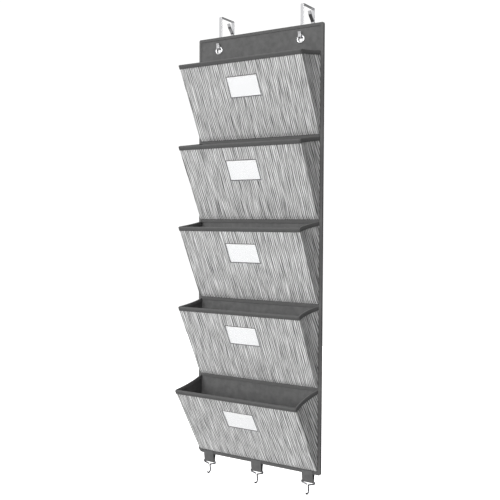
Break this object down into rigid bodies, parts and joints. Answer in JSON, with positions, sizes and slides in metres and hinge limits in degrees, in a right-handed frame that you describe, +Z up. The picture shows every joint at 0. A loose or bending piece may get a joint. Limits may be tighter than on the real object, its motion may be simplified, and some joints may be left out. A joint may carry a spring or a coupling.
{
  "type": "over-the-door file organizer",
  "caption": "Hanging fabric file organizer: stiff panel with tapered file pockets, label windows, sprung over-door hooks and wire hooks in webbing loops below.",
  "frame": {"origin": "midway between the two door hooks, where the door's front face meets its top edge: the undersides of the hooks' top bars are at z = 0 and the backs of their front legs at y = 0", "axes": "+Z up, +X to the right of someone facing the organizer, -Y out of its front, +Y into the door"},
  "size_m": [0.335, 0.1619, 1.0975],
  "materials": {
    "panel_fabric": "matt dark grey woven polyester",
    "pocket_fabric": "light grey linen-look polyester with fine vertical streaks",
    "binding_tape": "dark grey folded binding tape",
    "webbing": "dark grey ribbed webbing",
    "stiffener_board": "plain grey board",
    "bright_metal": "bright nickel plate on steel",
    "clear_film": "clear soft film",
    "label_card": "blank white card"
  },
  "bodies": {
    "panel": {"panel_front_fabric": "panel_fabric", "panel_board": "stiffener_board", "panel_back_fabric": "panel_fabric", "panel_edge_binding": "binding_tape", "eyelet_left": "bright_metal", "eyelet_right": "bright_metal", "eyelet_washer_left": "bright_metal", "eyelet_washer_right": "bright_metal", "pocket_1_gusset_left": "pocket_fabric", "pocket_1_gusset_right": "pocket_fabric", "pocket_1_seam_binding": "binding_tape", "pocket_2_gusset_left": "pocket_fabric", "pocket_2_gusset_right": "pocket_fabric", "pocket_2_seam_binding": "binding_tape", "pocket_3_gusset_left": "pocket_fabric", "pocket_3_gusset_right": "pocket_fabric", "pocket_3_seam_binding": "binding_tape", "pocket_4_gusset_left": "pocket_fabric", "pocket_4_gusset_right": "pocket_fabric", "pocket_4_seam_binding": "binding_tape", "pocket_5_gusset_left": "pocket_fabric", "pocket_5_gusset_right": "pocket_fabric", "webbing_loop_left": "webbing", "webbing_loop_middle": "webbing", "webbing_loop_right": "webbing"},
    "door_hook_left_body": {"door_hook_left": "bright_metal"},
    "door_hook_right_body": {"door_hook_right": "bright_metal"},
    "pocket_1_front": {"pocket_1_front_cover": "pocket_fabric", "pocket_1_front_board": "stiffener_board", "pocket_1_rim_binding": "binding_tape", "pocket_1_label_window": "clear_film"},
    "pocket_1_card": {"pocket_1_label_card": "label_card"},
    "pocket_2_front": {"pocket_2_front_cover": "pocket_fabric", "pocket_2_front_board": "stiffener_board", "pocket_2_rim_binding": "binding_tape", "pocket_2_label_window": "clear_film"},
    "pocket_2_card": {"pocket_2_label_card": "label_card"},
    "pocket_3_front": {"pocket_3_front_cover": "pocket_fabric", "pocket_3_front_board": "stiffener_board", "pocket_3_rim_binding": "binding_tape", "pocket_3_label_window": "clear_film"},
    "pocket_3_card": {"pocket_3_label_card": "label_card"},
    "pocket_4_front": {"pocket_4_front_cover": "pocket_fabric", "pocket_4_front_board": "stiffener_board", "pocket_4_rim_binding": "binding_tape", "pocket_4_label_window": "clear_film"},
    "pocket_4_card": {"pocket_4_label_card": "label_card"},
    "pocket_5_front": {"pocket_5_front_cover": "pocket_fabric", "pocket_5_front_board": "stiffener_board", "pocket_5_rim_binding": "binding_tape", "pocket_5_label_window": "clear_film"},
    "pocket_5_card": {"pocket_5_label_card": "label_card"},
    "wire_hook_left_body": {"wire_hook_left": "bright_metal"},
    "wire_hook_middle_body": {"wire_hook_middle": "bright_metal"},
    "wire_hook_right_body": {"wire_hook_right": "bright_metal"}
  },
  "joints": [
    {"name": "pocket_1_fold", "type": "hinge", "parent": "panel", "child": "pocket_1_front", "pos_m": [0, -0.008, -0.2912], "axis": [-1, 0, 0], "range_deg": [0, 24], "deforming": ["pocket_1_gusset_left", "pocket_1_gusset_right"]},
    {"name": "pocket_2_fold", "type": "hinge", "parent": "panel", "child": "pocket_2_front", "pos_m": [0, -0.008, -0.4779], "axis": [-1, 0, 0], "range_deg": [0, 24], "deforming": ["pocket_2_gusset_left", "pocket_2_gusset_right"]},
    {"name": "pocket_3_fold", "type": "hinge", "parent": "panel", "child": "pocket_3_front", "pos_m": [0, -0.008, -0.6646], "axis": [-1, 0, 0], "range_deg": [0, 24], "deforming": ["pocket_3_gusset_left", "pocket_3_gusset_right"]},
    {"name": "pocket_4_fold", "type": "hinge", "parent": "panel", "child": "pocket_4_front", "pos_m": [0, -0.008, -0.8513], "axis": [-1, 0, 0], "range_deg": [0, 24], "deforming": ["pocket_4_gusset_left", "pocket_4_gusset_right"]},
    {"name": "pocket_5_fold", "type": "hinge", "parent": "panel", "child": "pocket_5_front", "pos_m": [0, -0.008, -1.038], "axis": [-1, 0, 0], "range_deg": [0, 28], "deforming": ["pocket_5_gusset_left", "pocket_5_gusset_right"]},
    {"name": "pocket_1_card_slide", "type": "slide", "parent": "pocket_1_front", "child": "pocket_1_card", "axis": [0, -0.4555, 0.8903], "range_m": [0, 0.03]},
    {"name": "pocket_2_card_slide", "type": "slide", "parent": "pocket_2_front", "child": "pocket_2_card", "axis": [0, -0.4555, 0.8903], "range_m": [0, 0.03]},
    {"name": "pocket_3_card_slide", "type": "slide", "parent": "pocket_3_front", "child": "pocket_3_card", "axis": [0, -0.4555, 0.8903], "range_m": [0, 0.03]},
    {"name": "pocket_4_card_slide", "type": "slide", "parent": "pocket_4_front", "child": "pocket_4_card", "axis": [0, -0.4555, 0.8903], "range_m": [0, 0.03]},
    {"name": "pocket_5_card_slide", "type": "slide", "parent": "pocket_5_front", "child": "pocket_5_card", "axis": [0, -0.5217, 0.8532], "range_m": [0, 0.03]},
    {"name": "door_hook_left_tilt", "type": "hinge", "parent": "panel", "child": "door_hook_left_body", "pos_m": [-0.11, -0.0091, -0.07503], "axis": [-1, 0, 0], "range_deg": [0, 20]},
    {"name": "door_hook_right_tilt", "type": "hinge", "parent": "panel", "child": "door_hook_right_body", "pos_m": [0.11, -0.0091, -0.07503], "axis": [-1, 0, 0], "range_deg": [0, 20]},
    {"name": "wire_hook_left_swing", "type": "hinge", "parent": "panel", "child": "wire_hook_left_body", "pos_m": [-0.1355, -0.0053, -1.0659], "axis": [1, 0, 0], "range_deg": [-60, 60]},
    {"name": "wire_hook_middle_swing", "type": "hinge", "parent": "panel", "child": "wire_hook_middle_body", "pos_m": [0, -0.0053, -1.0659], "axis": [1, 0, 0], "range_deg": [-60, 60]},
    {"name": "wire_hook_right_swing", "type": "hinge", "parent": "panel", "child": "wire_hook_right_body", "pos_m": [0.1355, -0.0053, -1.0659], "axis": [1, 0, 0], "range_deg": [-60, 60]}
  ]
}
